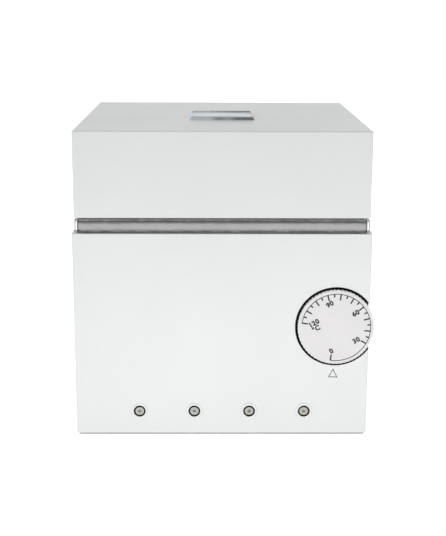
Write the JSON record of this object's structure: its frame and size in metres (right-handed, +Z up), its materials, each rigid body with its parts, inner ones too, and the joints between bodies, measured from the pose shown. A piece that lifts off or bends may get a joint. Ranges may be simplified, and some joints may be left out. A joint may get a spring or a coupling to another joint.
{
  "type": "wax warmer",
  "caption": "Square white wax warmer with a steel rim, a rear-hinged box lid, a removable pot in a heated well and a dial thermostat let into the right-hand front edge.",
  "frame": {"origin": "on the standing surface, under the middle of the square body (within 2 mm of the middle of the bounding box)", "axes": "+Z up, -Y out of the front panel with the dial, +X to the right seen from the front"},
  "size_m": [0.203, 0.2084, 0.2164],
  "materials": {
    "white_enamel": "gloss",
    "deck_steel": "brushed",
    "zinc_sheet": "galvanised",
    "bracket_black": "matt",
    "foot_rubber": "matt",
    "red_silicone": "matt",
    "steel_fasteners": "satin",
    "white_nylon": "satin",
    "well_aluminium": "spun",
    "pot_aluminium": "spun",
    "heater_band": "heat tinted",
    "ceramic_parts": "matt",
    "fibre": "matt",
    "control_steel": "satin",
    "copper_tube": "bright",
    "tinned_brass": "bright",
    "black_plastic": "satin",
    "lead_brown": "matt",
    "lead_blue": "matt",
    "lead_green": "matt",
    "white_plastic": "gloss",
    "badge_chrome": "polished"
  },
  "bodies": {
    "base": {"body_shell": "white_enamel", "rear_panel": "white_enamel", "base_tray": "zinc_sheet", "feet": "foot_rubber", "foot_screws": "steel_fasteners", "foot_nuts": "steel_fasteners", "screw_cups": "white_nylon", "front_screws": "steel_fasteners", "front_nuts": "steel_fasteners", "rear_screws": "steel_fasteners", "deck": "deck_steel", "deck_screws": "steel_fasteners", "heating_well": "well_aluminium", "well_gasket": "red_silicone", "well_screws": "steel_fasteners", "band_heater": "heater_band", "heater_clamp_bolt": "steel_fasteners", "heater_terminals": "ceramic_parts", "insulation_wrap": "fibre", "insulation_disc": "fibre", "heat_shield": "zinc_sheet", "shield_standoffs": "steel_fasteners", "shield_nuts": "steel_fasteners", "thermostat_bracket": "bracket_black", "thermostat_case": "control_steel", "thermostat_switch": "ceramic_parts", "thermostat_nut": "steel_fasteners", "sensor_bulb": "copper_tube", "capillary_tube": "copper_tube", "bulb_clip": "zinc_sheet", "thermal_cutout": "control_steel", "floor_screws": "steel_fasteners", "inlet_socket": "black_plastic", "inlet_pins": "tinned_brass", "inlet_screws": "steel_fasteners", "rear_panel_nuts": "steel_fasteners", "earth_stud": "steel_fasteners", "earth_lug": "tinned_brass", "earth_nut": "steel_fasteners", "lead_live": "lead_brown", "lead_switched": "lead_brown", "lead_cutout": "lead_brown", "lead_neutral": "lead_blue", "lead_earth": "lead_green", "hinge_body_leaves": "control_steel", "hinge_pins": "steel_fasteners", "hinge_body_screws": "steel_fasteners"},
    "lid": {"lid_shell": "white_enamel", "lid_bumpers": "foot_rubber", "lid_badge": "badge_chrome", "badge_clips": "steel_fasteners", "hinge_lid_leaves": "control_steel", "hinge_lid_screws": "steel_fasteners", "hinge_lid_nuts": "steel_fasteners"},
    "dial": {"dial_knob": "white_plastic", "dial_plate": "white_plastic", "thermostat_spindle": "steel_fasteners"},
    "pot": {"wax_pot": "pot_aluminium", "pot_ears": "pot_aluminium"},
    "bail": {"pot_bail": "control_steel"}
  },
  "joints": [
    {"name": "lid_hinge", "type": "hinge", "parent": "base", "child": "lid", "pos_m": [0, 0.103, 0.156], "axis": [-1, 0, 0], "range_deg": [0, 100]},
    {"name": "dial_turn", "type": "hinge", "parent": "base", "child": "dial", "pos_m": [0.077, -0.0976, 0.082], "axis": [0, 1, 0], "range_deg": [-5.9, 264.8]},
    {"name": "pot_lift", "type": "slide", "parent": "base", "child": "pot", "axis": [0, 0, 1], "range_m": [0, 0.0425]},
    {"name": "bail_swing", "type": "hinge", "parent": "pot", "child": "bail", "pos_m": [0, 0, 0.1646], "axis": [-1, 0, 0], "range_deg": [0, 185]}
  ]
}
